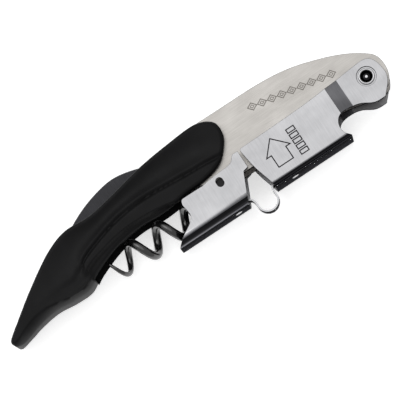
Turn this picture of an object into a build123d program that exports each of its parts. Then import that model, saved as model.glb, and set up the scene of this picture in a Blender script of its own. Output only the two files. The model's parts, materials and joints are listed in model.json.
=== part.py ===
from build123d import *
import os

os.makedirs("parts", exist_ok=True)

# Waiters corkscrew, folded, lying on its side. Millimetres, +Z up.
# +X runs towards the lever pivot, +Y towards the knife side.
# Flat positions below are measured from the lever pivot, heights from the middle plane.

# Overall placing
HALF_WIDTH = 6.7          # half the thickness over the lever sides and the grips
PIVOT_X = 57.35           # lever pivot to the middle of the folded length
PIVOT_Y = 0.2             # lever pivot to the middle of the folded height

# Sheet steel
SHEET = 1.0               # lever and frame sheet
SIDE_GAP = 0.3            # lever ears to frame plates, and pin ends to lever sides
STEP_IN = 1.2             # inward set of the lever's ears
JOGGLE_RUN = 4.0          # length over which the sheet steps in
LEVER_JOGGLE_X = -7.5     # start of the lever's inward set

# Lever pivot
RIVET_R = 1.9
RIVET_BORE_R = 1.35
RIVET_HEAD_R = 2.3
RIVET_HEAD_H = 0.6
RIVET_HEAD_EDGE_R = 0.42
EAR_RECESS_R = 2.75
EAR_RECESS_H = 0.4
RUNNING = 0.05            # radial clearance of pins that turn
HEAD_GAP = 0.1            # axial play under rivet heads
SLEEVE_R = 3.0

# Levers
UPPER_WEB_Y = -11.4       # outer face of the upper lever's web
LOWER_WEB_Y = -11.3       # outer face of the lower lever's web
UPPER_BEND_R = 1.3
LOWER_BEND_R = 2.6
LOWER_INNER_R = 1.6
SLOT_W = 2.1              # oval slot over the worm pin
SLOT_H = 2.7

# Step spring, a bent strip that joins the two levers
STRIP_T = 0.5
STRIP_HALF_W = 2.0
LOOP_X = -41.1
LOOP_Y = -12.9
LOOP_R = 2.95
STRIP_RIVET_R = 1.0
STRIP_RIVET_HEAD_R = 1.6
STRIP_RIVET_HEAD_H = 0.35
UPPER_RIVET_X = -31.0
LOWER_RIVET_X = -49.5

# Worm
WORM_PIN_X = -49.2
WORM_PIN_Y = -2.3
WORM_PIN_R = 1.3
WORM_EYE_R = 2.9
WORM_EYE_HALF = 1.2
WIRE_R = 1.2
COIL_R = 3.5              # coil radius to the wire's middle
PITCH = 9.2
WORM_AXIS_Y = -4.9
WORM_START_X = -51.8
TURNS = 3.82
TIP_L = 3.2
TIP_TAPER = 18
BUSH_R = 1.75
BUSH_PLAY = 0.3

# Knife
KNIFE_PIN_X = -53.0
KNIFE_PIN_Y = 8.0
KNIFE_PIN_R = 1.4
KNIFE_HALF_T = 0.6
KNIFE_SLOT_HALF = 0.9
TANG_R = 3.9
KNIFE_BUSH_R = 2.6
SPRING_TOP_Y = 3.7
SPRING_H = 2.0
SPRING_LEFT_X = -92.5
SPRING_RIGHT_X = -50.0

# Grips
WORM_CAVITY_HALF = 5.0
CAVITY_TOP_Y = 0.4
SLOT_END_X = -92.5        # left of this the two shells meet on the middle plane
SKIN_RIGHT_OF_X = -60.0   # right of this a shell is only a skin on the frame plate
GRIP_EDGE_R = 1.2
HOLLOW_DEPTH = 0.5
FLANK_DEPTH = 0.7
TANG_RELIEF_L = 30.0      # step that frees the plates' lower edge
TANG_RELIEF_H = 1.4
TANG_RELIEF_X = -88.0
SCREW_R = 1.0
SCREW_HEAD_R = 2.0
SCREW_HEAD_H = 1.0
SCREW_SINK = 0.1
HEX_KEY_R = 0.9
HEX_KEY_DEPTH = 0.6
SCREW_END = 0.7           # cover left over the screw ends in the front shell
SCREW_1 = (-46.5, 5.0)
SCREW_2 = (-100.0, -0.6)

# Derived heights from the middle plane
LEVER_IN = HALF_WIDTH - SHEET
EAR_OUT = HALF_WIDTH - STEP_IN
FRAME_OUT = EAR_OUT - SHEET - SIDE_GAP
FRAME_IN = FRAME_OUT - SHEET
WORM_PIN_END = LEVER_IN - SIDE_GAP
REACH = 140.0             # longer than the tool, for cuts that run right through

BODY = Plane(origin=(PIVOT_X, PIVOT_Y, HALF_WIDTH))
SIDE = Plane(origin=(PIVOT_X, PIVOT_Y, HALF_WIDTH), x_dir=(1, 0, 0), z_dir=(0, -1, 0))
END = Plane(origin=(PIVOT_X, PIVOT_Y, HALF_WIDTH), x_dir=(0, 1, 0), z_dir=(1, 0, 0))
WORM_PIN = (WORM_PIN_X, WORM_PIN_Y)
KNIFE_PIN = (KNIFE_PIN_X, KNIFE_PIN_Y)


# Frame plates: head at the pivot, tang under the grip.
with BuildPart() as frame_plate_front:
    with BuildSketch(BODY.offset(FRAME_IN)):
        with BuildLine():
            spine = Spline((-45.6, 14.9), (-30.0, 14.75), (-16.0, 13.5), (-8.0, 11.25), (0, 7.9),
                           (4.3, 5.0))
            nose = Spline(spine @ 1, (6.1, 0.45), (4.4, -4.6), tangents=[spine % 1, (-0.6, -0.8)])
            belly = Spline(nose @ 1, (0, -5.4), (-8.0, -3.6), (-20.0, -3.2), (-44.0, -3.3),
                           tangents=[nose % 1, (-1, 0)])
            lobe = Spline(belly @ 1, (-49.2, -4.75), (-51.6, -1.6), tangents=[(-1, -0.3), (-0.3, 1)])
            under = Spline(lobe @ 1, (-62.0, 1.2), (-74.0, 1.6), (-86.0, 0.2),
                           tangents=[(-0.6, 0.8), (-1, -0.2)])
            tang = Polyline(under @ 1, (-88.0, 4.0), (-87.0, 7.8), (-80.0, 8.4))
            over = Spline(tang @ 1, (-70.0, 10.9), (-58.0, 12.6), (-45.6, 13.2),
                          tangents=[(1, 0.1), (1, 0)])
            Line(over @ 1, spine @ 0)
        make_face()
    extrude(amount=SHEET)
    with BuildSketch(BODY.offset(FRAME_IN)):
        Circle(RIVET_R)
        with Locations(WORM_PIN):
            Circle(WORM_PIN_R)
        with Locations(KNIFE_PIN):
            Circle(KNIFE_PIN_R)
        with Locations(SCREW_1):
            Circle(SCREW_R)
    extrude(amount=SHEET, mode=Mode.SUBTRACT)
frame_plate_front.part.label = "frame_plate_front"

with BuildPart() as frame_plate_back:
    mirror(frame_plate_front.part, about=BODY)
frame_plate_back.part.label = "frame_plate_back"

# Bar between the plates along the spine
with BuildPart() as spine_spacer:
    with BuildSketch(BODY.offset(-FRAME_IN)):
        with BuildLine():
            top = Spline((-30.0, 14.1), (-22.0, 13.6), (-14.0, 12.2))
            low = Spline((-14.0, 9.4), (-22.0, 10.8), (-30.0, 11.3))
            Line(top @ 1, low @ 0)
            Line(low @ 1, top @ 0)
        make_face()
    extrude(amount=2 * FRAME_IN)
spine_spacer.part.label = "spine_spacer"

# Sleeve between the frame heads on the lever pivot
with BuildPart() as pivot_sleeve:
    with BuildSketch(BODY.offset(-FRAME_IN)):
        Circle(SLEEVE_R)
        Circle(RIVET_R, mode=Mode.SUBTRACT)
    extrude(amount=2 * FRAME_IN)
pivot_sleeve.part.label = "pivot_sleeve"

# Tubular rivet with rolled heads, in recesses of the lever ears
HEAD_Z = EAR_OUT - EAR_RECESS_H + HEAD_GAP
with BuildPart() as lever_rivet:
    with BuildSketch(BODY.offset(-HEAD_Z)):
        Circle(RIVET_R)
    extrude(amount=2 * HEAD_Z)
    with BuildSketch(BODY.offset(HEAD_Z), BODY.offset(-HEAD_Z - RIVET_HEAD_H)):
        Circle(RIVET_HEAD_R)
    extrude(amount=RIVET_HEAD_H)
    rims = edges().filter_by(GeomType.CIRCLE).filter_by(lambda e: e.radius > RIVET_R + 0.1)
    outer_rims = rims.group_by(Axis.Z)[0] + rims.group_by(Axis.Z)[-1]
    fillet(outer_rims, RIVET_HEAD_EDGE_R)
    with BuildSketch(BODY.offset(-HALF_WIDTH)):
        Circle(RIVET_BORE_R)
    extrude(amount=2 * HALF_WIDTH, mode=Mode.SUBTRACT)
lever_rivet.part.label = "lever_rivet"

# Upper lever: bent sheet with two ears, a web and the crown-cap notch
with BuildPart() as upper_lever:
    with BuildSketch(BODY.offset(-HALF_WIDTH)):
        with BuildLine():
            crest = Spline((-39.2, 2.35), (-28.0, 2.5), (-14.0, 3.05), (0.6, 4.4),
                           tangents=[(1, 0), (1, 0.05)])
            ear = Spline(crest @ 1, (4.9, 0), (4.6, -3.5), (1.5, -7.3), (-0.4, -7.5),
                         tangents=[crest % 1, (-1, 0)])
            throat = Spline(ear @ 1, (-5.0, -5.6), (-9.0, -4.7), (-12.3, -5.3), (-13.8, -8.0),
                            (-13.0, -10.5), (-12.1, UPPER_WEB_Y), tangents=[(-1, 0), (0.4, -0.6)])
            web = Line(throat @ 1, (-37.2, UPPER_WEB_Y))
            back = Spline(web @ 1, (-38.9, -5.0), (-39.9, 1.4), tangents=[(-0.2, 1), (-0.1, 1)])
            Spline(back @ 1, crest @ 0, tangents=[back % 1, (1, 0)])
        make_face()
    extrude(amount=2 * HALF_WIDTH)
    bends = edges().filter_by(GeomType.LINE).filter_by(Axis.X).group_by(Axis.Y)[0]
    fillet(bends, UPPER_BEND_R)
    with BuildSketch(SIDE):
        Polygon(
            (REACH, EAR_OUT), (LEVER_JOGGLE_X, EAR_OUT),
            (LEVER_JOGGLE_X - JOGGLE_RUN, HALF_WIDTH), (-REACH, HALF_WIDTH),
            (-REACH, -HALF_WIDTH), (LEVER_JOGGLE_X - JOGGLE_RUN, -HALF_WIDTH),
            (LEVER_JOGGLE_X, -EAR_OUT), (REACH, -EAR_OUT), align=None,
        )
    extrude(amount=REACH, both=True, mode=Mode.INTERSECT)
    with BuildSketch(SIDE.offset(-UPPER_WEB_Y - SHEET)):
        Polygon(
            (REACH, EAR_OUT - SHEET), (LEVER_JOGGLE_X, EAR_OUT - SHEET),
            (LEVER_JOGGLE_X - JOGGLE_RUN, LEVER_IN), (-REACH, LEVER_IN),
            (-REACH, -LEVER_IN), (LEVER_JOGGLE_X - JOGGLE_RUN, -LEVER_IN),
            (LEVER_JOGGLE_X, SHEET - EAR_OUT), (REACH, SHEET - EAR_OUT), align=None,
        )
    extrude(amount=-REACH, mode=Mode.SUBTRACT)
    with BuildSketch(BODY.offset(EAR_OUT), BODY.offset(EAR_RECESS_H - EAR_OUT)):
        Circle(EAR_RECESS_R)
    extrude(amount=-EAR_RECESS_H, mode=Mode.SUBTRACT)
    with BuildSketch(BODY.offset(-HALF_WIDTH)):
        Circle(RIVET_R + RUNNING)
    extrude(amount=2 * HALF_WIDTH, mode=Mode.SUBTRACT)
    with BuildSketch(SIDE.offset(-UPPER_WEB_Y)):
        with Locations((UPPER_RIVET_X, 0)):
            Circle(STRIP_RIVET_R)
    extrude(amount=-SHEET, mode=Mode.SUBTRACT)
upper_lever.part.label = "upper_lever"

# Lower lever: the second step, with its oval slot and pressed-in lower flanks
with BuildPart() as lower_lever:
    with BuildSketch(BODY.offset(-HALF_WIDTH)):
        with BuildLine():
            tab = Polyline((-40.6, -3.0), (-40.6, 2.2), (-41.8, 2.2))
            rise = Spline(tab @ 1, (-43.2, 1.15), (-47.5, 0.1), (-53.5, -0.5), (-60.0, -0.45),
                          tangents=[(-1, 0), (-1, 0)])
            nose = Spline(rise @ 1, (-61.0, -1.3), (-60.8, -5.5), tangents=[(-1, 0), (0, -1)])
            beak = Spline(nose @ 1, (-64.0, -8.3), (-67.4, -10.6), (-69.0, LOWER_WEB_Y - SHEET),
                          tangents=[(-0.4, -1), (-0.5, -1)])
            Polyline(beak @ 1, (-46.3, LOWER_WEB_Y - SHEET), (-42.2, -3.4), tab @ 0)
        make_face()
    extrude(amount=2 * HALF_WIDTH)
    with BuildSketch(END):
        with Locations((LOWER_WEB_Y, 0)):
            Rectangle(REACH, 2 * HALF_WIDTH, align=(Align.MIN, Align.CENTER))
        outer_corners = vertices().group_by(Axis.X)[0]
        fillet(outer_corners, LOWER_BEND_R)
    extrude(amount=REACH, both=True, mode=Mode.INTERSECT)
    with BuildSketch(END):
        with Locations((LOWER_WEB_Y + SHEET, 0)):
            Rectangle(REACH, 2 * LEVER_IN, align=(Align.MIN, Align.CENTER))
        inner_corners = vertices().group_by(Axis.X)[0]
        fillet(inner_corners, LOWER_INNER_R)
    extrude(amount=REACH, both=True, mode=Mode.SUBTRACT)
    with BuildSketch(BODY.offset(-HALF_WIDTH)):
        with Locations(WORM_PIN):
            SlotOverall(SLOT_H, SLOT_W, rotation=90)
    extrude(amount=2 * HALF_WIDTH, mode=Mode.SUBTRACT)
    with BuildSketch(SIDE.offset(-LOWER_WEB_Y)):
        with Locations((LOWER_RIVET_X, 0)):
            Circle(STRIP_RIVET_R)
    extrude(amount=-SHEET, mode=Mode.SUBTRACT)
lower_lever.part.label = "lower_lever"

# Step spring: a strip inside both webs with a round loop between them
UPPER_STRIP_Y = UPPER_WEB_Y + SHEET + STRIP_T / 2
LOWER_STRIP_Y = LOWER_WEB_Y + SHEET + STRIP_T / 2
with BuildPart() as step_spring:
    with BuildSketch(BODY.offset(-STRIP_HALF_W)):
        with BuildLine():
            leg = Line((-27.0, UPPER_STRIP_Y), (-37.3, UPPER_STRIP_Y))
            drop = Spline(leg @ 1, (-38.1, -10.9), (LOOP_X + LOOP_R, LOOP_Y), tangents=[(-1, 0), (0, -1)])
            loop = ThreePointArc(drop @ 1, (LOOP_X, LOOP_Y - LOOP_R), (LOOP_X - LOOP_R, LOOP_Y))
            climb = Spline(loop @ 1, (-44.3, -10.9), (-45.4, LOWER_STRIP_Y), tangents=[(0, 1), (-1, 0)])
            foot = Line(climb @ 1, (-52.0, LOWER_STRIP_Y))
            trace_path = Wire([leg, drop, loop, climb, foot])
        trace(line_width=STRIP_T)
    extrude(amount=2 * STRIP_HALF_W)
    with BuildSketch(SIDE.offset(-UPPER_WEB_Y)):
        with Locations((UPPER_RIVET_X, 0), (LOWER_RIVET_X, 0)):
            Circle(STRIP_RIVET_R)
    extrude(amount=-2 * SHEET, mode=Mode.SUBTRACT)
step_spring.part.label = "step_spring"

# Rivets that hold the strip, flush outside; the upper one keeps a low head inside
with BuildPart() as upper_spring_rivet:
    with BuildSketch(SIDE.offset(-UPPER_WEB_Y)):
        with Locations((UPPER_RIVET_X, 0)):
            Circle(STRIP_RIVET_R)
    extrude(amount=-SHEET - STRIP_T)
    with BuildSketch(SIDE.offset(-UPPER_WEB_Y - SHEET - STRIP_T)):
        with Locations((UPPER_RIVET_X, 0)):
            Circle(STRIP_RIVET_HEAD_R)
    extrude(amount=-STRIP_RIVET_HEAD_H)
upper_spring_rivet.part.label = "upper_spring_rivet"

with BuildPart() as lower_spring_rivet:
    with BuildSketch(SIDE.offset(-LOWER_WEB_Y)):
        with Locations((LOWER_RIVET_X, 0)):
            Circle(STRIP_RIVET_R)
    extrude(amount=-SHEET - STRIP_T)
lower_spring_rivet.part.label = "lower_spring_rivet"

# Worm: one wire, coiled right-handed, flattened round the pin and drawn to a point
COIL_BASE = Plane(
    origin=BODY.from_local_coords(Vector(WORM_START_X, WORM_AXIS_Y, 0)), x_dir=(0, 1, 0), z_dir=(-1, 0, 0),
)
coil = COIL_BASE * Helix(pitch=PITCH, height=PITCH * TURNS, radius=COIL_R)
with BuildPart() as worm:
    with BuildSketch(BODY.offset(-WORM_EYE_HALF)):
        with Locations(WORM_PIN):
            Circle(WORM_EYE_R)
    extrude(amount=2 * WORM_EYE_HALF)
    with BuildSketch(Plane(origin=coil @ 0, z_dir=coil % 0)):
        Circle(WIRE_R)
    sweep(path=coil, is_frenet=True)
    with BuildSketch(Plane(origin=coil @ 1, z_dir=coil % 1)):
        Circle(WIRE_R)
    extrude(amount=TIP_L, taper=TIP_TAPER)
    with BuildSketch(BODY.offset(-WORM_EYE_HALF - WIRE_R)):
        with Locations(WORM_PIN):
            Circle(WORM_PIN_R + RUNNING)
    extrude(amount=2 * (WORM_EYE_HALF + WIRE_R), mode=Mode.SUBTRACT)
worm.part.label = "worm"

with BuildPart() as worm_pivot_pin:
    with BuildSketch(BODY.offset(-WORM_PIN_END)):
        with Locations(WORM_PIN):
            Circle(WORM_PIN_R)
    extrude(amount=2 * WORM_PIN_END)
worm_pivot_pin.part.label = "worm_pivot_pin"

WORM_BUSH_IN = WORM_EYE_HALF + BUSH_PLAY
with BuildPart() as worm_bushes:
    with BuildSketch(BODY.offset(WORM_BUSH_IN), BODY.offset(-FRAME_IN)):
        with Locations(WORM_PIN):
            Circle(BUSH_R)
            Circle(WORM_PIN_R, mode=Mode.SUBTRACT)
    extrude(amount=FRAME_IN - WORM_BUSH_IN)
worm_bushes.part.label = "worm_bushes"

# Knife, its pin and bushes, and the bar that carries it
with BuildPart() as knife_blade:
    with BuildSketch(BODY.offset(-KNIFE_HALF_T)):
        with BuildLine():
            back = Spline((-89.8, 11.1), (-84.0, 13.6), (-78.0, 15.2), (-74.0, 15.7), (-66.0, 14.3),
                          (KNIFE_PIN_X - 1.5, KNIFE_PIN_Y + TANG_R - 0.3))
            heel = ThreePointArc(back @ 1, (KNIFE_PIN_X + TANG_R, KNIFE_PIN_Y),
                                 (KNIFE_PIN_X - 1.5, KNIFE_PIN_Y - TANG_R + 0.3))
            Spline(heel @ 1, (-66.0, 5.3), (-80.0, 7.6), (-89.8, 11.1))
        make_face()
    extrude(amount=2 * KNIFE_HALF_T)
    with BuildSketch(BODY.offset(-KNIFE_HALF_T)):
        with Locations(KNIFE_PIN):
            Circle(KNIFE_PIN_R + RUNNING)
    extrude(amount=2 * KNIFE_HALF_T, mode=Mode.SUBTRACT)
knife_blade.part.label = "knife_blade"

with BuildPart() as knife_pivot_pin:
    with BuildSketch(BODY.offset(-FRAME_OUT)):
        with Locations(KNIFE_PIN):
            Circle(KNIFE_PIN_R)
    extrude(amount=2 * FRAME_OUT)
knife_pivot_pin.part.label = "knife_pivot_pin"

with BuildPart() as knife_bushes:
    with BuildSketch(BODY.offset(KNIFE_SLOT_HALF), BODY.offset(-FRAME_IN)):
        with Locations(KNIFE_PIN):
            Circle(KNIFE_BUSH_R)
            Circle(KNIFE_PIN_R, mode=Mode.SUBTRACT)
    extrude(amount=FRAME_IN - KNIFE_SLOT_HALF)
knife_bushes.part.label = "knife_bushes"

with BuildPart() as knife_spring:
    with BuildSketch(BODY.offset(-KNIFE_SLOT_HALF)):
        with Locations((SPRING_LEFT_X, SPRING_TOP_Y)):
            Rectangle(SPRING_RIGHT_X - SPRING_LEFT_X, SPRING_H, align=(Align.MIN, Align.MAX))
    extrude(amount=2 * KNIFE_SLOT_HALF)
knife_spring.part.label = "knife_spring"

# Grips: moulded shells over the frame tang
with BuildPart() as grip_shell_front:
    with BuildSketch(BODY):
        with BuildLine():
            outline = Spline(
                (-118.75, -9.09), (-112.0, -7.4), (-106.0, -6.5), (-100.0, -7.0), (-95.0, -6.8),
                (-90.0, -4.2), (-82.0, -1.3), (-74.0, -0.2), (-68.0, -0.6), (-63.0, -0.4), (-58.0, 0.25), (-52.0, 0.6),
                (-46.5, 2.2), (-42.6, 6.0), (-41.0, 10.3), (-42.6, 13.3), (-46.0, 14.7), (-56.0, 14.3),
                (-66.0, 13.1), (-76.0, 11.0), (-84.0, 9.7), (-92.0, 9.9), (-98.0, 8.0), (-108.0, 2.2),
                (-120.19, -6.3), tangents=[(0.96, 0.28), (-0.78, -0.62)],
            )
            ThreePointArc(outline @ 1, (-120.8, -7.55), outline @ 0)
        make_face()
    extrude(amount=HALF_WIDTH)
    rim = edges().group_by(Axis.Z)[-1]
    fillet(rim, GRIP_EDGE_R)
    # hollow above the rib
    with BuildSketch(BODY.offset(HALF_WIDTH)):
        with BuildLine():
            ridge = Spline((-92.0, 2.4), (-84.0, 5.0), (-72.0, 7.2), (-60.0, 6.8), (-46.0, 6.0))
            band = Spline((-46.0, 12.4), (-58.0, 12.3), (-74.0, 9.8), (-92.0, 7.6))
            Line(ridge @ 1, band @ 0)
            Line(band @ 1, ridge @ 0)
        make_face()
    extrude(amount=-HOLLOW_DEPTH, mode=Mode.SUBTRACT)
    # flank below the rib
    with BuildSketch(BODY.offset(HALF_WIDTH)):
        with BuildLine():
            line = Spline((-119.0, -8.0), (-112.0, -5.6), (-104.0, -5.8), (-97.0, -5.4),
                          (-90.0, -0.9), (-78.0, 1.6), (-68.0, 1.4), (-62.0, 0.4))
            Polyline(line @ 1, (-62.0, -12.0), (-119.0, -12.0), line @ 0)
        make_face()
    extrude(amount=-FLANK_DEPTH, mode=Mode.SUBTRACT)
    # slot for knife and spring bar
    with BuildSketch(BODY):
        with Locations((SLOT_END_X, 0)):
            Rectangle(REACH, REACH, align=(Align.MIN, Align.CENTER))
    extrude(amount=KNIFE_SLOT_HALF, mode=Mode.SUBTRACT)
    # room for the frame tang and the open space round the pins
    with BuildSketch(BODY):
        with Locations((SKIN_RIGHT_OF_X, 0)):
            Rectangle(REACH, REACH, align=(Align.MIN, Align.CENTER))
    extrude(amount=FRAME_OUT, mode=Mode.SUBTRACT)
    with BuildSketch(BODY.offset(FRAME_IN)):
        with BuildLine():
            pocket_low = Spline((-51.6, -1.6), (-62.0, 1.2), (-74.0, 1.6), (-86.0, 0.2),
                                tangents=[(-0.6, 0.8), (-1, -0.2)])
            pocket_end = Polyline(pocket_low @ 1, (-88.0, 4.0), (-87.0, 7.8), (-80.0, 8.4))
            pocket_top = Spline(pocket_end @ 1, (-70.0, 10.9), (-58.0, 12.6), (-45.6, 13.2),
                                tangents=[(1, 0.1), (1, 0)])
            Line(pocket_top @ 1, pocket_low @ 0)
        make_face()
        with Locations((TANG_RELIEF_X, CAVITY_TOP_Y)):
            Rectangle(TANG_RELIEF_L, TANG_RELIEF_H, align=(Align.MIN, Align.MIN))
    extrude(amount=SHEET, mode=Mode.SUBTRACT)
    # groove for the worm
    with BuildSketch(BODY):
        with Locations((SLOT_END_X, CAVITY_TOP_Y)):
            Rectangle(REACH, REACH, align=(Align.MIN, Align.MAX))
    extrude(amount=WORM_CAVITY_HALF, mode=Mode.SUBTRACT)
    # screw holes, blind from inside
    with BuildSketch(BODY):
        with Locations(SCREW_1, SCREW_2):
            Circle(SCREW_R)
    extrude(amount=HALF_WIDTH - SCREW_END, mode=Mode.SUBTRACT)
grip_shell_front.part.label = "grip_shell_front"

SCREW_SEAT = HALF_WIDTH - SCREW_SINK - SCREW_HEAD_H
with BuildPart() as grip_shell_back:
    mirror(grip_shell_front.part, about=BODY)
    with BuildSketch(BODY.offset(-SCREW_SEAT)):
        with Locations(SCREW_1, SCREW_2):
            Circle(SCREW_R)
    extrude(amount=SCREW_SEAT, mode=Mode.SUBTRACT)
    with BuildSketch(BODY.offset(-SCREW_SEAT)):
        with Locations(SCREW_1, SCREW_2):
            Circle(SCREW_HEAD_R)
    extrude(amount=-REACH, mode=Mode.SUBTRACT)
grip_shell_back.part.label = "grip_shell_back"

with BuildPart() as grip_screws:
    with BuildSketch(BODY.offset(-SCREW_SEAT)):
        with Locations(SCREW_1, SCREW_2):
            Circle(SCREW_R)
    extrude(amount=SCREW_SEAT + HALF_WIDTH - SCREW_END)
    with BuildSketch(BODY.offset(-SCREW_SEAT - SCREW_HEAD_H)):
        with Locations(SCREW_1, SCREW_2):
            Circle(SCREW_HEAD_R)
    extrude(amount=SCREW_HEAD_H)
    with BuildSketch(BODY.offset(-SCREW_SEAT - SCREW_HEAD_H)):
        with Locations(SCREW_1, SCREW_2):
            RegularPolygon(HEX_KEY_R, 6)
    extrude(amount=HEX_KEY_DEPTH, mode=Mode.SUBTRACT)
grip_screws.part.label = "grip_screws"

export_step(frame_plate_front.part, "parts/frame_plate_front.step")
export_step(frame_plate_back.part, "parts/frame_plate_back.step")
export_step(spine_spacer.part, "parts/spine_spacer.step")
export_step(pivot_sleeve.part, "parts/pivot_sleeve.step")
export_step(lever_rivet.part, "parts/lever_rivet.step")
export_step(upper_lever.part, "parts/upper_lever.step")
export_step(lower_lever.part, "parts/lower_lever.step")
export_step(step_spring.part, "parts/step_spring.step")
export_step(upper_spring_rivet.part, "parts/upper_spring_rivet.step")
export_step(lower_spring_rivet.part, "parts/lower_spring_rivet.step")
export_step(worm.part, "parts/worm.step")
export_step(worm_pivot_pin.part, "parts/worm_pivot_pin.step")
export_step(worm_bushes.part, "parts/worm_bushes.step")
export_step(knife_blade.part, "parts/knife_blade.step")
export_step(knife_pivot_pin.part, "parts/knife_pivot_pin.step")
export_step(knife_bushes.part, "parts/knife_bushes.step")
export_step(knife_spring.part, "parts/knife_spring.step")
export_step(grip_shell_front.part, "parts/grip_shell_front.step")
export_step(grip_shell_back.part, "parts/grip_shell_back.step")
export_step(grip_screws.part, "parts/grip_screws.step")
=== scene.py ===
import json
import math

import bmesh
import bpy
import numpy as np
from bpy.props import FloatProperty, PointerProperty, StringProperty
from mathutils import Matrix, Vector


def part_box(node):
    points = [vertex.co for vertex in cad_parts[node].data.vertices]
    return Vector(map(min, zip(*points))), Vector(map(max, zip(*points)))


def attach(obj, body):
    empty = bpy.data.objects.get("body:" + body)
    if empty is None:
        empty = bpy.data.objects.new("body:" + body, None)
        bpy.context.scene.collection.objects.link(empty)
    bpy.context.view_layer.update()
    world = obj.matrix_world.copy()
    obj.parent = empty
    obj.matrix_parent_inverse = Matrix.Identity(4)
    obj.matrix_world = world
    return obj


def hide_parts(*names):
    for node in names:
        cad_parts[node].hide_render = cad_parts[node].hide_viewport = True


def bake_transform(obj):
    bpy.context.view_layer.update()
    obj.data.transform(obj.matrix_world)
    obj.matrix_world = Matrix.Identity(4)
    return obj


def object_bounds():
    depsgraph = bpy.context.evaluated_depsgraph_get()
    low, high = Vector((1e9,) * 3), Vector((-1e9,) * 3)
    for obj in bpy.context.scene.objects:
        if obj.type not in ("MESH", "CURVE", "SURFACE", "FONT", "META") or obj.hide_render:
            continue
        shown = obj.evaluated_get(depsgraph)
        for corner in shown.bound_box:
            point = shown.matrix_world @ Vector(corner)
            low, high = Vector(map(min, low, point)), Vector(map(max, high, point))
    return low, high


bl_info = {
    "name": "Waiters Corkscrew",
    "version": (1, 0, 0),
    "blender": (4, 5, 0),
    "location": "3D View > Sidebar > Corkscrew",
    "description": "Finishes and sculpted pieces of a folding waiters corkscrew",
    "category": "Object",
}

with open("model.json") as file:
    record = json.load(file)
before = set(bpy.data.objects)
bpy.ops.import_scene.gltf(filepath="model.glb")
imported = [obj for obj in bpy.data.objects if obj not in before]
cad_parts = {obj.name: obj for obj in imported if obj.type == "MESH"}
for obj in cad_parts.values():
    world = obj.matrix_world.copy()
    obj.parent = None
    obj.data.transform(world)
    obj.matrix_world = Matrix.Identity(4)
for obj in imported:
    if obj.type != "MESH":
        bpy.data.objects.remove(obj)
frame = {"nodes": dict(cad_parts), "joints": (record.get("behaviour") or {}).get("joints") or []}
CAD_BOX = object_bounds()

MM = 0.001
JOINTS = {joint["name"]: joint for joint in frame["joints"]}
PIVOT = Vector(JOINTS["lever_swing"]["pos_m"])
WORM_PIN = Vector(JOINTS["worm_swing"]["pos_m"])
HALF_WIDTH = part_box("grip_shell_front")[1][2] - PIVOT.z
FRAME_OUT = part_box("frame_plate_front")[1][2] - PIVOT.z

# Sheet pieces: a face at least this upright is brushed, the rest is edge, bend or web, which take darker
# materials painted with shade
BRUSHED_UPRIGHT = 0.92
# A face this close to an axis counts as flat and keeps its own shading
FLAT_ALIGNMENT = 0.9997
# The levers' webs lie below this, in mm from the pivot; faces above it are cut edges
WEB_TOP_Y = -9.6
# The etched lines lie this far above the sheet, in mm
MARK_LIFT = 0.012


def at(x, y, z=0.0):
    """A point in millimetres from the lever pivot, in the frame's metres."""
    return PIVOT + Vector((x, y, z)) * MM


# ---------------------------------------------------------------- materials

def linear(code):
    """An sRGB hex colour as linear RGBA."""
    parts = [int(code[i:i + 2], 16) / 255 for i in (1, 3, 5)]
    return tuple(c / 12.92 if c <= 0.04045 else ((c + 0.055) / 1.055) ** 2.4 for c in parts) + (1.0,)


def add_node(tree, kind, links=(), **settings):
    """Adds a node with its settings; links are (socket name, output socket)."""
    node = tree.nodes.new(kind)
    for key, value in settings.items():
        if key.startswith("in_"):
            socket = key[3:]
            socket = int(socket) if socket.isdigit() else socket.replace("_", " ")
            node.inputs[socket].default_value = value
        else:
            setattr(node, key, value)
    for socket, output in links:
        tree.links.new(output, node.inputs[socket])
    return node


def new_material(name, **sockets):
    """A Principled material; the sockets' names have underscores for spaces."""
    material = bpy.data.materials.new(name)
    material.use_nodes = True
    tree = material.node_tree
    shader = tree.nodes["Principled BSDF"]
    for key, value in sockets.items():
        shader.inputs[key.replace("_", " ")].default_value = value
    return material, tree, shader


def object_coords(tree, stretch):
    """Object coordinates scaled so that one unit is one feature of the given size in mm on each axis."""
    coords = add_node(tree, "ShaderNodeTexCoord")
    return add_node(
        tree, "ShaderNodeMapping", [("Vector", coords.outputs["Object"])],
        in_Scale=tuple(1 / (size * MM) for size in stretch),
    ).outputs["Vector"]


def tone(tree, factor, low, high, start=0.3, end=0.7):
    """Two hex colours mixed by a pattern."""
    ramp = add_node(tree, "ShaderNodeValToRGB", [("Fac", factor)])
    ramp.color_ramp.elements[0].position = start
    ramp.color_ramp.elements[1].position = end
    ramp.color_ramp.elements[0].color = linear(low)
    ramp.color_ramp.elements[1].color = linear(high)
    return ramp.outputs["Color"]


def bands(tree, factor, stops):
    """Hex colours at given positions along a value."""
    ramp = add_node(tree, "ShaderNodeValToRGB", [("Fac", factor)])
    elements = ramp.color_ramp.elements
    elements.remove(elements[1])
    elements[0].position = stops[0][0]
    elements[0].color = linear(stops[0][1])
    for position, code in stops[1:]:
        elements.new(position).color = linear(code)
    return ramp.outputs["Color"]


def spread(tree, factor, low, high):
    """A pattern from 0 to 1 spread between two values."""
    return add_node(tree, "ShaderNodeMapRange", [("Value", factor)], in_3=low, in_4=high).outputs["Result"]


def bump(tree, height, depth_mm, strength=1.0):
    return add_node(
        tree, "ShaderNodeBump", [("Height", height)], in_Distance=depth_mm * MM, in_Strength=strength,
    ).outputs["Normal"]


# Painted shade on bends and joggles: the more a face tilts from flat, the darker its colour
BEND_SHADE_BANDS = [(0.78, "#2A2A2B"), (0.93, "#85858A"), (0.962, "#B4B4B6"), (0.985, "#D4D4D6"),
              (0.999, "#FFFFFF")]
# Painted shade: a dark edge tint that dims the reflection of the bright table in faces seen almost along
# their surface
GRAZING_SHADE_TINT = "#4E4E52"
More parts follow.
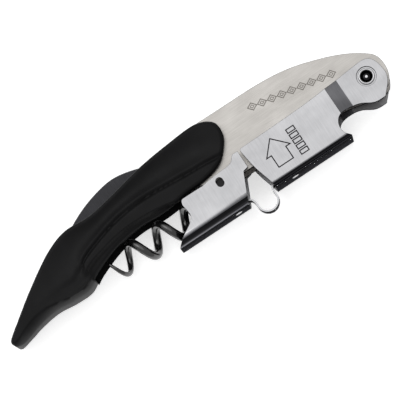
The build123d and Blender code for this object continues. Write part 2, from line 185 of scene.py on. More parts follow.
# Painted shade and painted reflection lines up a bent web, from its back edge to the bend
WEB_SHADE_BANDS = [(0.0, "#1C1C1E"), (0.06, "#242426"), (0.11, "#8A8A8E"), (0.5, "#707074"), (0.62, "#606064"),
             (0.68, "#262628"), (0.78, "#262628"), (0.84, "#9C9CA0"), (0.9, "#2C2C2E"), (1.0, "#1C1C1E")]


def brushed_stainless(name, low, high, rough, grain):
    """Stainless sheet, brushed along its length: fine lines that blur reflections and vary in tone. Bends
    and joggles get painted shade.
    """
    material, tree, shader = new_material(name, Metallic=1.0)
    lines = add_node(tree, "ShaderNodeTexNoise", [("Vector", object_coords(tree, grain))],
                     in_Scale=1.0, in_Detail=4.0, in_Roughness=0.6).outputs["Fac"]
    patches = add_node(tree, "ShaderNodeTexNoise", [("Vector", object_coords(tree, (9.0, 5.0, 9.0)))],
                       in_Scale=1.0, in_Detail=2.0).outputs["Fac"]
    mixed = add_node(tree, "ShaderNodeMath", [(0, lines), (1, patches)], operation="ADD").outputs[0]
    half = add_node(tree, "ShaderNodeMath", [(0, mixed)], operation="MULTIPLY", in_1=0.5).outputs[0]
    # painted shade: bends and joggles are coloured darker by how far they tilt from flat, standing in for
    # the dim surroundings they mirror
    normal = add_node(tree, "ShaderNodeNewGeometry").outputs["True Normal"]
    upright = add_node(tree, "ShaderNodeSeparateXYZ", [("Vector", normal)]).outputs["Z"]
    flatness = add_node(tree, "ShaderNodeMath", [(0, upright)], operation="ABSOLUTE").outputs[0]
    reach = bands(tree, flatness, BEND_SHADE_BANDS)
    brushed = tone(tree, half, low, high)
    colour = add_node(tree, "ShaderNodeVectorMath", [(0, brushed), (1, reach)], operation="MULTIPLY")
    tree.links.new(colour.outputs["Vector"], shader.inputs["Base Color"])
    tree.links.new(spread(tree, lines, rough - 0.06, rough + 0.08), shader.inputs["Roughness"])
    tree.links.new(bump(tree, lines, 0.012, 0.35), shader.inputs["Normal"])
    return material


def polished_steel(name, colour, rough, tint="#FFFFFF"):
    """Sprung or turned steel, polished: sharp reflections with faint drawing lines."""
    material, tree, shader = new_material(name, Metallic=1.0, Base_Color=linear(colour),
                                          Specular_Tint=linear(tint))
    lines = add_node(tree, "ShaderNodeTexNoise", [("Vector", object_coords(tree, (2.0, 2.0, 0.15)))],
                     in_Scale=1.0, in_Detail=3.0).outputs["Fac"]
    tree.links.new(spread(tree, lines, rough * 0.7, rough * 1.5), shader.inputs["Roughness"])
    return material


def web_stainless_painted_shade(name):
    """The bent web: dark painted shade with lines of painted reflection in bands that run along the bend,
    varied by tumbling marks.
    """
    material, tree, shader = new_material(name, Metallic=1.0, Specular_Tint=linear(GRAZING_SHADE_TINT))
    coords = add_node(tree, "ShaderNodeTexCoord").outputs["Object"]
    height = add_node(tree, "ShaderNodeSeparateXYZ", [("Vector", coords)]).outputs["Z"]
    share = add_node(tree, "ShaderNodeMapRange", [("Value", height)], in_1=(-HALF_WIDTH + PIVOT.z),
                     in_2=HALF_WIDTH + PIVOT.z).outputs["Result"]
    marks = add_node(tree, "ShaderNodeTexNoise", [("Vector", object_coords(tree, (7.0, 0.8, 0.35)))],
                     in_Scale=1.0, in_Detail=3.0).outputs["Fac"]
    worn = spread(tree, marks, 0.7, 1.25)
    # painted shade and painted reflection lines, banded by height across the web
    banded = bands(tree, share, WEB_SHADE_BANDS)
    colour = add_node(tree, "ShaderNodeVectorMath", [(0, banded), ("Scale", worn)], operation="SCALE")
    tree.links.new(colour.outputs["Vector"], shader.inputs["Base Color"])
    tree.links.new(spread(tree, marks, 0.16, 0.3), shader.inputs["Roughness"])
    return material


def edge_stainless_painted_shade(name, low, high):
    """Sheared stainless edges, not brushed, coloured dark as painted shade: they outline the sheet darkly.
    """
    material, tree, shader = new_material(name, Metallic=1.0, Specular_Tint=linear(GRAZING_SHADE_TINT))
    marks = add_node(tree, "ShaderNodeTexNoise", [("Vector", object_coords(tree, (7.0, 0.8, 0.35)))],
                     in_Scale=1.0, in_Detail=3.0).outputs["Fac"]
    tree.links.new(tone(tree, marks, low, high), shader.inputs["Base Color"])
    tree.links.new(spread(tree, marks, 0.12, 0.26), shader.inputs["Roughness"])
    return material


def moulded_nylon(name, low, high):
    """Glass-filled nylon, moulded in a fine spark-eroded tool: satin black with a soft grain."""
    material, tree, shader = new_material(name, IOR=1.5, Specular_IOR_Level=0.13)
    grain = add_node(tree, "ShaderNodeTexNoise", [("Vector", object_coords(tree, (0.16, 0.16, 0.16)))],
                     in_Scale=1.0, in_Detail=2.0, in_Roughness=0.7).outputs["Fac"]
    cloud = add_node(tree, "ShaderNodeTexNoise", [("Vector", object_coords(tree, (7.0, 7.0, 7.0)))],
                     in_Scale=1.0, in_Detail=3.0).outputs["Fac"]
    tree.links.new(tone(tree, cloud, low, high), shader.inputs["Base Color"])
    tree.links.new(spread(tree, grain, 0.40, 0.56), shader.inputs["Roughness"])
    tree.links.new(bump(tree, grain, 0.02, 0.5), shader.inputs["Normal"])
    return material


def coated_wire(name, colour):
    """Steel wire under a black low-friction coating: glossy, with a slight orange peel."""
    material, tree, shader = new_material(name, Base_Color=linear(colour), IOR=1.6,
                                          Coat_Weight=0.7, Coat_Roughness=0.06)
    peel = add_node(tree, "ShaderNodeTexNoise", [("Vector", object_coords(tree, (0.9, 0.9, 0.9)))],
                    in_Scale=1.0, in_Detail=2.0).outputs["Fac"]
    tree.links.new(spread(tree, peel, 0.14, 0.28), shader.inputs["Roughness"])
    tree.links.new(bump(tree, peel, 0.02, 0.3), shader.inputs["Normal"])
    return material


def coated_blade(name, low, high):
    """Ground blade steel under a thin charcoal coating: the grinding lines still show across it."""
    material, tree, shader = new_material(name, Metallic=0.55)
    lines = add_node(tree, "ShaderNodeTexNoise", [("Vector", object_coords(tree, (0.18, 3.5, 3.5)))],
                     in_Scale=1.0, in_Detail=3.0, in_Roughness=0.6).outputs["Fac"]
    tree.links.new(tone(tree, lines, low, high), shader.inputs["Base Color"])
    tree.links.new(spread(tree, lines, 0.38, 0.55), shader.inputs["Roughness"])
    tree.links.new(bump(tree, lines, 0.015, 0.4), shader.inputs["Normal"])
    return material


def etched_mark(name, low, high):
    """Laser-etched line: oxidised steel, dull and slightly uneven."""
    material, tree, shader = new_material(name, Specular_IOR_Level=0.15)
    speck = add_node(tree, "ShaderNodeTexNoise", [("Vector", object_coords(tree, (0.2, 0.2, 0.2)))],
                     in_Scale=1.0, in_Detail=2.0).outputs["Fac"]
    tree.links.new(tone(tree, speck, low, high), shader.inputs["Base Color"])
    tree.links.new(spread(tree, speck, 0.5, 0.7), shader.inputs["Roughness"])
    return material


def black_oxide(name, colour):
    """Steel blackened in a salt bath: dark, with a faint metallic sheen."""
    material, tree, shader = new_material(name, Metallic=0.7, Base_Color=linear(colour))
    speck = add_node(tree, "ShaderNodeTexNoise", [("Vector", object_coords(tree, (0.4, 0.4, 0.4)))],
                     in_Scale=1.0, in_Detail=2.0).outputs["Fac"]
    tree.links.new(spread(tree, speck, 0.3, 0.45), shader.inputs["Roughness"])
    return material


def backlit_acrylic(name, colour, glow):
    """Opal acrylic table lit from below: clean white with hardly any shadow on it."""
    material, tree, shader = new_material(name, Base_Color=linear(colour), Emission_Color=linear(colour),
                                          Emission_Strength=glow)
    fibre = add_node(tree, "ShaderNodeTexNoise", [("Vector", object_coords(tree, (1.5, 1.5, 1.5)))],
                     in_Scale=1.0, in_Detail=2.0).outputs["Fac"]
    tree.links.new(spread(tree, fibre, 0.76, 0.84), shader.inputs["Roughness"])
    return material


# ---------------------------------------------------------------- mesh helpers

def as_object(name, vertices, faces, materials, smooth_deg=35.0):
    """A new mesh piece with its seams joined and its faces turned outwards."""
    mesh = bpy.data.meshes.new(name)
    mesh.from_pydata([tuple(v) for v in vertices], [], faces)
    mesh.validate()
    piece = bpy.data.objects.new(name, mesh)
    bpy.context.scene.collection.objects.link(piece)
    for material in materials:
        mesh.materials.append(material)
    tidy = bmesh.new()
    tidy.from_mesh(mesh)
    bmesh.ops.remove_doubles(tidy, verts=tidy.verts, dist=1e-7)
    bmesh.ops.recalc_face_normals(tidy, faces=tidy.faces)
    tidy.to_mesh(mesh)
    tidy.free()
    soften(mesh, smooth_deg)
    return piece


def soften(mesh, angle_deg, sheet=False):
    """Smooth shading with sharp edges over the angle; on a sheet, flat faces keep their own."""
    mesh.polygons.foreach_set("use_smooth", [True] * len(mesh.polygons))
    shaper = bmesh.new()
    shaper.from_mesh(mesh)
    limit = math.radians(angle_deg)
    for edge in shaper.edges:
        sharp = len(edge.link_faces) != 2 or edge.calc_face_angle(0.0) > limit
        if sheet and not sharp:
            sharp = any(max(abs(part) for part in face.normal) > FLAT_ALIGNMENT
                        for face in edge.link_faces)
        edge.smooth = not sharp
    shaper.to_mesh(mesh)
    shaper.free()


def edged_copy(node, name, materials, width_mm, segments=2, smooth_deg=32.0):
    """The node's own shape with its cut edges slightly rounded, as tumbled sheet metal has.
    A second material goes on what doesn't face up or down: cut edges, bends and webs."""
    source = frame["nodes"][node]
    mesh = source.data.copy()
    piece = bpy.data.objects.new(name, mesh)
    bpy.context.scene.collection.objects.link(piece)
    shaper = bmesh.new()
    shaper.from_mesh(mesh)
    bmesh.ops.remove_doubles(shaper, verts=shaper.verts, dist=2e-6)
    bmesh.ops.dissolve_limit(shaper, angle_limit=math.radians(0.05), verts=shaper.verts, edges=shaper.edges)
    corner = math.radians(38)
    sharp = [e for e in shaper.edges if len(e.link_faces) == 2 and e.calc_face_angle(0.0) > corner]
    bmesh.ops.bevel(shaper, geom=sharp, offset=width_mm * MM, offset_type="OFFSET", segments=segments,
                    profile=0.5, affect="EDGES", clamp_overlap=True)
    bmesh.ops.triangulate(shaper, faces=[f for f in shaper.faces if len(f.verts) > 4])
    shaper.to_mesh(mesh)
    shaper.free()
    mesh.materials.clear()
    for material in materials:
        mesh.materials.append(material)
    if len(materials) > 1:
        for polygon in mesh.polygons:
            polygon.material_index = int(abs(polygon.normal.z) < BRUSHED_UPRIGHT)
    else:
        mesh.polygons.foreach_set("material_index", [0] * len(mesh.polygons))
    soften(mesh, smooth_deg, sheet=True)
    return piece


def lathe(profile, centre, steps, mirror=True):
    """Rings round a Z axis through centre; profile is (radius, height) in mm from the middle plane."""
    rings = list(profile)
    if mirror:
        rings = [(r, -z) for r, z in reversed(rings)] + rings
    vertices = []
    for radius, height in rings:
        for k in range(steps):
            turn = 2 * math.pi * k / steps
            spot = Vector((radius * math.cos(turn), radius * math.sin(turn), height))
            vertices.append(centre + spot * MM)
    faces = []
    for ring in range(len(rings) - 1):
        for k in range(steps):
            a = ring * steps + k
            b = ring * steps + (k + 1) % steps
            faces.append((a, b, b + steps, a + steps))
    return vertices, faces


def stroke(outline, width, z):
    """A flat closed mitred line of even width along points in mm, in the plane at height z."""
    points = [Vector(p) for p in outline]
    count = len(points)
    vertices, faces = [], []
    for k in range(count):
        before = points[(k - 1) % count]
        after = points[(k + 1) % count]
        a = (points[k] - before).normalized()
        b = (after - points[k]).normalized()
        normal = Vector((-(a + b).y, (a + b).x)).normalized()
        reach = width / 2 / max(0.35, normal.dot(Vector((-a.y, a.x))))
        for side in (-1, 1):
            spot = points[k] + normal * reach * side
            vertices.append(at(spot.x, spot.y, z))
    for k in range(count):
        n = (k + 1) % count
        faces.append((2 * k, 2 * n, 2 * n + 1, 2 * k + 1))
    return vertices, faces


def merge(parts):
    """Joins several (vertices, faces) lists into one."""
    vertices, faces = [], []
    for some_vertices, some_faces in parts:
        base = len(vertices)
        vertices += some_vertices
        faces += [tuple(i + base for i in face) for face in some_faces]
    return vertices, faces


def refinish(nodes, material):
    """Gives CAD nodes that stay as they are a single material."""
    for node in nodes:
        own = frame["nodes"][node].data.materials
        own.clear()
        own.append(material)


def raise_spine(piece, foot, crest, lift):
    """Lets a piece's outline swell towards its spine, by lift mm at the crest and nothing at the foot."""
    for vertex in piece.data.vertices:
        y = (vertex.co.y - PIVOT.y) / MM
        vertex.co.y += lift * MM * min(1.0, max(0.0, (y - foot) / (crest - foot)))


# ---------------------------------------------------------------- grip surface

# Outline of one shell, lower and upper edge, in mm from the lever pivot
LOWER_EDGE = [
    (-120.8, -7.55), (-120.2, -8.75), (-118.75, -9.09), (-115.5, -8.4), (-112.0, -7.4),
    (-106.0, -6.5), (-100.0, -7.0), (-95.0, -6.8), (-90.0, -4.2), (-82.0, -1.3), (-74.0, -0.2),
    (-68.0, -0.6), (-63.0, -0.4), (-58.0, 0.25), (-52.0, 0.6), (-46.5, 2.2), (-42.6, 6.0),
    (-41.3, 8.4), (-41.0, 10.3),
]
UPPER_EDGE = [
    (-120.8, -7.55), (-120.6, -6.8), (-120.19, -6.3), (-114.5, -2.1), (-108.0, 2.4), (-98.0, 8.4),
    (-92.0, 10.3), (-84.0, 10.1), (-76.0, 11.4), (-66.0, 13.5), (-56.0, 14.7), (-46.0, 15.1),
    (-42.5, 13.6), (-41.3, 12.1), (-41.0, 10.3),
]
# Ridge of the rib, the foot of the rib's lower side, and the crease along the tail
RIDGE = [
    (-97.0, -2.4), (-93.5, 0.0), (-92.0, 1.5), (-90.0, 2.5), (-86.0, 3.9), (-82.0, 5.1),
    (-78.0, 6.0), (-74.0, 6.5), (-70.0, 6.7), (-66.0, 6.6), (-62.0, 6.3), (-58.0, 6.0),
    (-54.0, 5.7), (-50.0, 5.5), (-46.0, 5.1), (-41.0, 4.6),
]
RIB_FOOT = [
    (-95.0, -3.8), (-92.0, -1.7), (-90.0, -0.8), (-86.0, 0.3), (-82.0, 1.2), (-78.0, 1.7),
    (-74.0, 1.8), (-70.0, 1.6), (-66.0, 1.2), (-62.0, 0.3), (-58.0, -1.0), (-41.0, -4.0),
]
TAIL_CREASE = [
    (-121.0, -8.0), (-118.0, -7.3), (-116.0, -6.4), (-112.0, -5.1), (-108.0, -4.8), (-104.0, -5.3),
    (-100.0, -6.0), (-96.0, -5.9), (-94.0, -5.3), (-92.0, -4.4), (-88.0, -2.9), (-84.0, -2.4),
    (-80.0, -2.2),
]


def curve_through(points, step=0.15):
    """A dense smooth line through points: a centripetal Catmull-Rom spline."""
    p = np.array([points[0]] + list(points) + [points[-1]], float)
    p[0] = 2 * p[1] - p[2]
    p[-1] = 2 * p[-2] - p[-3]
    out = []
    for k in range(1, len(p) - 2):
        a, b, c, d = p[k - 1:k + 3]
        t0 = 0.0
        t1 = t0 + np.linalg.norm(b - a) ** 0.5
        t2 = t1 + np.linalg.norm(c - b) ** 0.5
        t3 = t2 + np.linalg.norm(d - c) ** 0.5
        count = max(3, int(np.linalg.norm(c - b) / step))
        for t in np.linspace(t1, t2, count, endpoint=False):
            a1 = (t1 - t) / (t1 - t0) * a + (t - t0) / (t1 - t0) * b
            a2 = (t2 - t) / (t2 - t1) * b + (t - t1) / (t2 - t1) * c
            a3 = (t3 - t) / (t3 - t2) * c + (t - t2) / (t3 - t2) * d
            b1 = (t2 - t) / (t2 - t0) * a1 + (t - t0) / (t2 - t0) * a2
            b2 = (t3 - t) / (t3 - t1) * a2 + (t - t1) / (t3 - t1) * a3
            out.append((t2 - t) / (t2 - t1) * b1 + (t - t1) / (t2 - t1) * b2)
    out.append(p[-2])
    return np.array(out)


def height_of(line, x):
    """The y of a line of points at each x."""
    dense = curve_through(line)
    order = np.argsort(dense[:, 0])
    return np.interp(x, dense[order, 0], dense[order, 1])


def ease(value):
    """0 to 1 with level ends."""
    value = np.clip(value, 0.0, 1.0)
    return value * value * (3 - 2 * value)


def between(x, start, full, off, end):
    """0 outside start..end, 1 from full to off, eased between."""
    return ease((x - start) / (full - start)) * ease((end - x) / (end - off))


# Inside of a shell, in mm: solid left of SLOT_END, only a skin right of SKIN_FROM
SLOT_END = -92.5
SKIN_FROM = -60.0
GROOVE_TOP = 0.4
GROOVE_HALF = 5.0
KNIFE_HALF = 0.9
# Rows of points across the groove for the worm and across the rest
GROOVE_ROWS = 22
UPPER_ROWS = 52
SCREWS = [(-46.5, 5.0), (-100.0, -0.6)]


def grip_height(x, y, low, high, edge, settings, screws):
    """Outer surface above the middle plane, in mm."""
    crest = HALF_WIDTH / MM - 1.3 * ease((-104.0 - x) / 18.0)
    ridge = height_of(RIDGE, x)
    foot = height_of(RIB_FOOT, x)
    crease = height_of(TAIL_CREASE, x)
    rib = between(x, -95.2, -92.6, -43.0, -40.0)
    depth = np.zeros_like(x)
    # hollow between the rib's ridge and the top edge, open into the tail
    span = np.clip((y - ridge) / np.maximum(high - ridge, 0.5), 0, 1)
    bowl = np.sin(np.pi * span ** 0.8) ** 1.3
    depth += settings.hollow_mm * bowl * between(x, -112.0, -88.0, -52.0, -43.0)
    # groove just below the ridge
    depth += settings.groove_mm * np.exp(-((y - ridge + 1.15) / 0.5) ** 2) * rib
    # tail face lies lower than the rib, with the rib's nose standing out of it
    tail_low = ease((-92.2 - x) / 2.6) * ease((x + 108.0) / 13.0) * ease((ridge + 1.4 - y) / 2.2)
    depth += 0.75 * tail_low * ease((y - crease) / 2.5 + 0.4)
    # flank under the rib
    under = np.clip((foot - y) / 1.1, 0, 1)
    depth += settings.flank_mm * ease(under) * between(x, -95.0, -91.0, -64.0, -60.5)
    depth += 0.35 * np.clip((foot - y - 1.1) / 2.0, 0, 1) * between(x, -95.0, -91.0, -64.0, -60.5)
    # rolled lower side of the tail
    below = np.clip((crease - y) / np.maximum(crease - low, 0.4), 0, 1)
    depth += 2.6 * below ** 1.25 * between(x, -121.5, -117.0, -95.0, -88.0)
    for spot_x, spot_y in screws:
        depth = np.maximum(depth, 1.0 * np.exp(-(np.hypot(x - spot_x, y - spot_y) / 2.55) ** 6))
    z = crest - depth
    # rounded rim
    radius = settings.rim_mm
    inside = np.clip(edge / radius, 0, 1)
    return z - radius * (1 - np.sqrt(np.clip(1 - (1 - inside) ** 2, 0, 1)))


def clustered(count):
    """0 to 1, closer together near both ends."""
    t = np.linspace(0, 1, count)
    return 0.62 * (0.5 - 0.5 * np.cos(np.pi * t)) + 0.38 * t


def grip_shell(name, side, settings, screws, material):
    """One shell: columns of points across it, out over the sculpted face and back along its inside."""
    left = LOWER_EDGE[0][0]
    right = LOWER_EDGE[-1][0]
    stops = [left, SLOT_END - 0.02, SLOT_END + 0.02, SKIN_FROM - 0.02, SKIN_FROM + 0.02, right]
    xs = []
    for a, b in zip(stops[:-1], stops[1:]):
        if b - a < 0.1:
            continue
        count = int((b - a) / 0.36)
        t = np.linspace(0, 1, count)
        if a == left:
            t = t ** 1.6
        if b == right:
            t = 1 - (1 - t) ** 1.9
        xs += list(a + (b - a) * t)
    xs = np.array(sorted(set(np.round(xs, 4))))
    xs[0] += 0.004
    xs[-1] -= 0.004
    low_line = curve_through(LOWER_EDGE)
    high_line = curve_through(UPPER_EDGE)
    rim = np.vstack([low_line, high_line[::-1]])
    lows = height_of(LOWER_EDGE, xs)
    highs = height_of(UPPER_EDGE, xs)
    vertices = []
    rows = None
    for x, low, high in zip(xs, lows, highs):
        split = min(max(GROOVE_TOP, low + 0.12 * (high - low)), high - 0.3 * (high - low))
        ys = np.concatenate([low + (split - low) * clustered(GROOVE_ROWS),
                             split + (high - split) * clustered(UPPER_ROWS)])
        rows = len(ys)
        column = np.stack([np.full(rows, x), ys], 1)
        gap = np.sqrt(((rim[None, :, :] - column[:, None, :]) ** 2).sum(2)).min(1)
        gap[0] = gap[-1] = 0.0
        outer = grip_height(np.full(rows, x), ys, low, high, gap, settings, screws)
        in_groove = np.arange(rows) < GROOVE_ROWS
        if x < SLOT_END:
            inner = np.zeros(rows)
        elif x > SKIN_FROM:
            inner = np.full(rows, FRAME_OUT / MM)
        else:
            inner = np.where(in_groove & (split > GROOVE_TOP - 0.01), GROOVE_HALF, KNIFE_HALF)
        outer = np.maximum(outer, inner + 0.02)
        vertices += [at(x, y, side * z) for y, z in zip(ys, outer)]
        vertices += [at(x, y, side * z) for y, z in zip(ys[::-1], inner[::-1])]
    ring = rows * 2
    faces = []
    for k in range(len(xs) - 1):
        for j in range(ring):
            n = (j + 1) % ring
            a, b = k * ring + j, k * ring + n
            faces.append((a, b, b + ring, a + ring) if side > 0 else (a, a + ring, b + ring, b))
    for k in (0, len(xs) - 1):
        faces.append(tuple(range(k * ring, (k + 1) * ring)))
    return as_object(name, vertices, faces, [material], smooth_deg=50.0)


# ---------------------------------------------------------------- settings

def length(name, description, default, least=0.0):
    return FloatProperty(name=name, description=description + ", in mm", default=default, min=least)


def colour_code(name, description, default):
    return StringProperty(name=name, description=description + ", sRGB hex", default=default)


def power(name, description, default):
    return FloatProperty(name=name, description=description, default=default, min=0, subtype="POWER")


class CorkscrewSettings(bpy.types.PropertyGroup):
    hollow_mm: length("Grip hollow", "Depth of the hollow above the grip's rib", 0.95)
    groove_mm: length("Rib groove", "Depth of the groove under the rib's ridge", 0.6)
    flank_mm: length("Grip flank", "Drop from the rib to the flank", 1.3)
    rim_mm: length("Grip rim", "Radius of the grip's rounded rim", 1.15, least=0.1)
    edge_mm: length("Sheet edge", "Rounding of the sheet metal's cut edges", 0.18, least=0.01)
    line_mm: length("Etched line", "Width of the etched lines", 0.32, least=0.05)
    spine_lift_mm: length("Spine swell", "Swell of the frame's and knife's spines", 0.5)
    grip_dark: colour_code("Grip dark", "Darker grip tone", "#0A0A0B")
    grip_light: colour_code("Grip light", "Lighter grip tone", "#121213")
    frame_dark: colour_code("Frame dark", "Darker brushed tone of the frame", "#9E9B97")
    frame_light: colour_code("Frame light", "Lighter brushed tone of the frame", "#BDBAB6")
    lever_dark: colour_code("Lever dark", "Darker brushed tone of the levers", "#A0A0A2")
    lever_light: colour_code("Lever light", "Lighter brushed tone of the levers", "#B9B9BB")
    key_watts: power("Key light", "Power of the large soft light", 1.2)
    top_watts: power("Top light", "Power of the overhead soft light", 1.9)


def settings_of(context):
    return context.scene.corkscrew


# ---------------------------------------------------------------- operators

class CORKSCREW_OT_grips(bpy.types.Operator):
    """Sculpts the two grip shells over their CAD solids"""
    bl_idname = "corkscrew.grips"
    bl_label = "Grips"

    def execute(self, context):
        settings = settings_of(context)
        nylon = moulded_nylon("nylon_moulded_satin_black", settings.grip_dark, settings.grip_light)
        for name, side, screws in (("grip_front", 1, []), ("grip_back", -1, SCREWS)):
            shell = grip_shell(name, side, settings, screws, nylon)
            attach(shell, "handle")
            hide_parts("grip_shell_front" if side > 0 else "grip_shell_back")
        return {"FINISHED"}


class CORKSCREW_OT_frame(bpy.types.Operator):
    """Finishes the frame plates and what is between them"""
    bl_idname = "corkscrew.frame"
    bl_label = "Frame"

    def execute(self, context):
        settings = settings_of(context)
        sheet = brushed_stainless("stainless_sheet_brushed_warm", settings.frame_dark,
                                  settings.frame_light, 0.36, (6.0, 0.22, 0.22))
        # painted shade: the frame's cut edges and side faces are coloured dark
        edge = edge_stainless_painted_shade("stainless_edge_painted_shade_warm", "#3C3A38", "#5A5754")
        for node, name in (("frame_plate_front", "frame_front"), ("frame_plate_back", "frame_back")):
            plate = edged_copy(node, name, [sheet, edge], settings.edge_mm)
            raise_spine(plate, 6.0, 14.9, settings.spine_lift_mm)
            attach(plate, "handle")
            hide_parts(node)
        turned = polished_steel("steel_turned", "#8E8E90", 0.32)
        refinish(("spine_spacer", "pivot_sleeve", "worm_bushes", "knife_pivot_pin", "knife_bushes",
                  "knife_spring"), turned)
        # Black oxide: the grip screws' finish; on the worm pin the black is painted shade, so the slot it
        # sits in reads dark
        oxide = black_oxide("steel_black_oxide", "#1A1A1B")
        refinish(("grip_screws", "worm_pivot_pin"), oxide)
        return {"FINISHED"}


class CORKSCREW_OT_levers(bpy.types.Operator):
    """Finishes the two levers with rounded cut edges"""
    bl_idname = "corkscrew.levers"
    bl_label = "Levers"

    def execute(self, context):
        settings = settings_of(context)
        sheet = brushed_stainless("stainless_sheet_fine_brushed", settings.lever_dark,
                                  settings.lever_light, 0.30, (0.25, 4.0, 0.25))
        web = web_stainless_painted_shade("stainless_web_painted_shade")
        # painted shade: the levers' cut edges are coloured near black
        edge = edge_stainless_painted_shade("stainless_cut_edge_painted_shade", "#2E2E30", "#454548")
        web_top = PIVOT.y + WEB_TOP_Y * MM
        for node, name in (("upper_lever", "lever_upper"), ("lower_lever", "lever_lower")):
            lever = edged_copy(node, name, [sheet, web, edge], settings.edge_mm)
            # faces above the web take the dark edge material, painted shade
            for polygon in lever.data.polygons:
                if polygon.material_index == 1 and polygon.center.y > web_top:
                    polygon.material_index = 2
            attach(lever, node)
            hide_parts(node)
        return {"FINISHED"}


class CORKSCREW_OT_marks(bpy.types.Operator):
    """Etches the arrow, its bars and the row of lozenges"""
    bl_idname = "corkscrew.marks"
    bl_label = "Etched marks"

    def execute(self, context):
        settings = settings_of(context)
        dark = etched_mark("steel_laser_etched_dark", "#141115", "#262227")
        pale = etched_mark("steel_laser_etched_pale", "#77736E", "#8D8883")
        face = HALF_WIDTH / MM + MARK_LIFT
        arrow = [(-31.4, 0.1), (-35.1, -4.1), (-33.6, -4.1), (-33.6, -7.9), (-28.9, -7.9),
                 (-28.9, -4.1), (-27.5, -4.1)]
        parts = [stroke(arrow, settings.line_mm, face)]
        # five open bars beside the arrow
        for k in range(5):
            y = -0.35 - 1.72 * k
            bar = [(-26.5, y), (-26.5, y - 1.15), (-24.1, y - 1.15), (-24.1, y)]
            parts.append(stroke(bar, settings.line_mm, face))
        piece = as_object("lever_marks", *merge(parts), [dark])
        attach(piece, "upper_lever")
        # a plain border of lozenges along the frame
        face = FRAME_OUT / MM + MARK_LIFT
        parts = []
        for k in range(9):
            mid = Vector((-30.4, 10.75)) + Vector((2.86, -0.575)) * k
            along = Vector((1.28, -0.257))
            across = Vector((0.2, 1.05))
            ring = [mid - along, mid + across, mid + along, mid - across]
            parts.append(stroke(ring, 0.26, face))
            inner = [mid + (p - mid) * 0.42 for p in ring]
            parts.append(stroke(inner, 0.2, face))
        piece = as_object("frame_border", *merge(parts), [pale])
        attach(piece, "handle")
        return {"FINISHED"}


class CORKSCREW_OT_rivet(bpy.types.Operator):
    """Turns the tubular pivot rivet with rolled heads"""
    bl_idname = "corkscrew.rivet"
    bl_label = "Pivot rivet"

    def execute(self, context):
        bright = polished_steel("steel_rivet_polished", "#C9C9CB", 0.16)
        shade = polished_steel("steel_rivet_painted_shade", "#2A292B", 0.2)
        profile = [(1.88, 0.0), (1.88, 5.2), (2.26, 5.2), (2.3, 5.3), (2.28, 5.52), (2.18, 5.7),
                   (2.0, 5.8), (1.82, 5.74), (1.68, 5.5), (1.58, 5.1), (1.5, 4.7), (1.42, 4.6),
                   (1.28, 4.8), (1.02, 5.02), (0.7, 5.17), (0.35, 5.24), (0.001, 5.26)]
        vertices, faces = lathe(profile, PIVOT, 64)
        rivet = as_object("pivot_rivet", vertices, faces, [bright, shade], smooth_deg=60.0)
        # painted shade: the hollow gets the dark copy of the steel, but for the crown of its floor, left
        # bright as a painted highlight
        for polygon in rivet.data.polygons:
            middle = polygon.center - PIVOT
            out = Vector((middle.x, middle.y)).length
            if 0.42 * MM < out < 1.66 * MM and abs(middle.z) > 4.4 * MM:
                polygon.material_index = 1
        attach(rivet, "handle")
        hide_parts("lever_rivet")
        return {"FINISHED"}


class CORKSCREW_OT_worm(bpy.types.Operator):
    """Coils the worm's wire from its eye to its ground point"""
    bl_idname = "corkscrew.worm"
    bl_label = "Worm"

    def execute(self, context):
        coating = coated_wire("steel_wire_coated_gloss_black", "#0D0D0E")
        wire, coil, pitch, turns = 1.2, 3.5, 9.2, 4.0
        start = Vector((-51.8, -4.9, 0.0))
        steps, sides = 460, 28
        vertices, faces = [], []
        for k in range(steps + 1):
            t = 2 * math.pi * turns * k / steps
            spot = start + Vector((-pitch * t / (2 * math.pi), coil * math.cos(t), -coil * math.sin(t)))
            ahead = Vector((-pitch / (2 * math.pi), -coil * math.sin(t), -coil * math.cos(t))).normalized()
            out = Vector((0, math.cos(t), -math.sin(t)))
            across = ahead.cross(out)
            left = turns * 2 * math.pi - t
            taper = min(1.0, (left / (1.15 * 2 * math.pi)) ** 0.62)
            radius = max(0.05, wire * taper)
            for j in range(sides):
                turn = 2 * math.pi * j / sides
                v = spot + (out * math.cos(turn) + across * math.sin(turn)) * radius
                vertices.append(at(v.x, v.y, v.z))
        for k in range(steps):
            for j in range(sides):
                a, b = k * sides + j, k * sides + (j + 1) % sides
                faces.append((a, b, b + sides, a + sides))
        faces.append(tuple(range(sides)))
        faces.append(tuple(range(steps * sides, (steps + 1) * sides)))
        # eye round the pin: a flattened ring of the same wire
        inner, outer, half = 1.36, 2.9, 1.2
        profile = []
        for k in range(25):
            turn = 2 * math.pi * k / 24
            c, s = math.cos(turn), math.sin(turn)
            r = (inner + outer) / 2 + (outer - inner) / 2 * math.copysign(abs(c) ** 0.6, c)
            profile.append((r, half * math.copysign(abs(s) ** 0.6, s)))
        ring_vertices, ring_faces = lathe(profile, WORM_PIN, 48, mirror=False)
        whole = merge([(vertices, faces), (ring_vertices, ring_faces)])
        piece = as_object("worm_wire", *whole, [coating], 60.0)
        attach(piece, "worm")
        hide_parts("worm")
        return {"FINISHED"}


class CORKSCREW_OT_knife(bpy.types.Operator):
    """Finishes the foil knife"""
    bl_idname = "corkscrew.knife"
    bl_label = "Knife"

    def execute(self, context):
        coat = coated_blade("blade_steel_coated_charcoal", "#1F1F22", "#343438")
        blade = edged_copy("knife_blade", "knife_ground", [coat], 0.25, segments=1)
        raise_spine(blade, 8.0, 15.7, settings_of(context).spine_lift_mm)
        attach(blade, "knife")
        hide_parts("knife_blade")
        return {"FINISHED"}


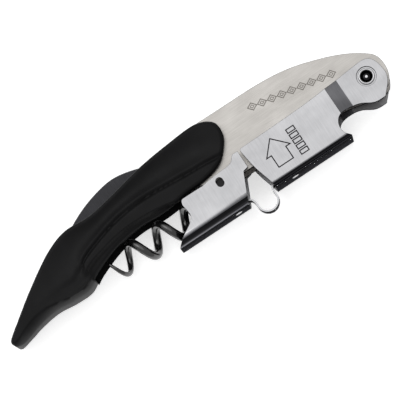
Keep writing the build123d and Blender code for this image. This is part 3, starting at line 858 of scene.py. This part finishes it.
class CORKSCREW_OT_spring(bpy.types.Operator):
    """Copies the step spring with rounded edges and refinishes its two rivets"""
    bl_idname = "corkscrew.spring"
    bl_label = "Step spring"

    def execute(self, context):
        steel = polished_steel("spring_steel_polished", "#B4B4B6", 0.2)
        # painted shade: faces that don't face up or down get this dark copy of the spring steel
        faces = polished_steel("spring_steel_painted_shade", "#3C3C3F", 0.22, GRAZING_SHADE_TINT)
        strip = edged_copy("step_spring", "spring_strip", [steel, faces], 0.1)
        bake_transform(strip)
        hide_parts("step_spring")
        refinish(("upper_spring_rivet", "lower_spring_rivet"), steel)
        return {"FINISHED"}


class CORKSCREW_OT_stage(bpy.types.Operator):
    """Sets the pale floor, the soft lights and the camera"""
    bl_idname = "corkscrew.stage"
    bl_label = "Stage"

    def execute(self, context):
        settings = settings_of(context)
        scene = context.scene
        size = 4.0
        paper = backlit_acrylic("acrylic_opal_backlit", "#F7F7F7", 0.6)
        floor = as_object("floor", [(-size, -size, 0), (size, -size, 0), (size, size, 0), (-size, size, 0)],
                          [(0, 1, 2, 3)], [paper])
        floor.location.z = CAD_BOX[0][2] - 0.0002

        world = bpy.data.worlds.new("studio")
        scene.world = world
        world.use_nodes = True
        backdrop = world.node_tree.nodes["Background"]
        backdrop.inputs["Color"].default_value = linear("#FFFFFF")
        backdrop.inputs["Strength"].default_value = 0.6
        scene.view_settings.view_transform = "Standard"

        def soft_light(name, place, aim, width, watts):
            lamp = bpy.data.lights.new(name, "AREA")
            lamp.shape = "DISK"
            lamp.size = width
            lamp.energy = watts
            source = bpy.data.objects.new(name, lamp)
            source.location = place
            source.rotation_euler = (Vector(aim) - Vector(place)).to_track_quat("-Z", "Y").to_euler()
            scene.collection.objects.link(source)

        middle = Vector((0, 0, 0.007))
        soft_light("key", (-0.3, 0.45, 0.7), middle, 0.6, settings.key_watts)
        soft_light("overhead", (0.0, 0.23, 0.85), middle, 0.95, settings.top_watts)

        # long lens, nearly straight down, rolled so that the head points up and right
        lens, sensor, field = 250.0, 36.0, 0.10870
        distance = field * lens / sensor
        tilt, roll = math.radians(79.7), math.radians(33.5)
        ahead = Vector((0, math.cos(tilt), -math.sin(tilt)))
        flat_up = Vector((0, math.sin(tilt), math.cos(tilt)))
        flat_right = Vector((1, 0, 0))
        right = flat_right * math.cos(roll) - flat_up * math.sin(roll)
        up = flat_right * math.sin(roll) + flat_up * math.cos(roll)
        data = bpy.data.cameras.new("camera")
        data.lens = lens
        data.sensor_width = sensor
        camera = bpy.data.objects.new("camera", data)
        target = at(-56.4, -3.4, HALF_WIDTH / MM)
        turn = Matrix((right, up, -ahead)).transposed().to_4x4()
        camera.matrix_world = Matrix.Translation(target - ahead * distance) @ turn
        scene.collection.objects.link(camera)
        scene.camera = camera
        return {"FINISHED"}


class CORKSCREW_PT_panel(bpy.types.Panel):
    """Lists the corkscrew's pieces and sizes"""
    bl_idname = "CORKSCREW_PT_panel"
    bl_label = "Waiters corkscrew"
    bl_space_type = "VIEW_3D"
    bl_region_type = "UI"
    bl_category = "Corkscrew"

    def draw(self, context):
        settings = settings_of(context)
        for name in CorkscrewSettings.__annotations__:
            self.layout.prop(settings, name)
        for operator in OPERATORS:
            self.layout.operator(operator.bl_idname)


OPERATORS = (
    CORKSCREW_OT_grips, CORKSCREW_OT_frame, CORKSCREW_OT_levers, CORKSCREW_OT_marks, CORKSCREW_OT_rivet,
    CORKSCREW_OT_worm, CORKSCREW_OT_knife, CORKSCREW_OT_spring, CORKSCREW_OT_stage,
)
CLASSES = (CorkscrewSettings,) + OPERATORS + (CORKSCREW_PT_panel,)


def register():
    for item in CLASSES:
        bpy.utils.register_class(item)
    bpy.types.Scene.corkscrew = PointerProperty(type=CorkscrewSettings)


def unregister():
    del bpy.types.Scene.corkscrew
    for item in reversed(CLASSES):
        bpy.utils.unregister_class(item)


def main():
    register()
    for operator in OPERATORS:
        group, action = operator.bl_idname.split(".")
        getattr(getattr(bpy.ops, group), action)()


if __name__ == "__main__":
    main()
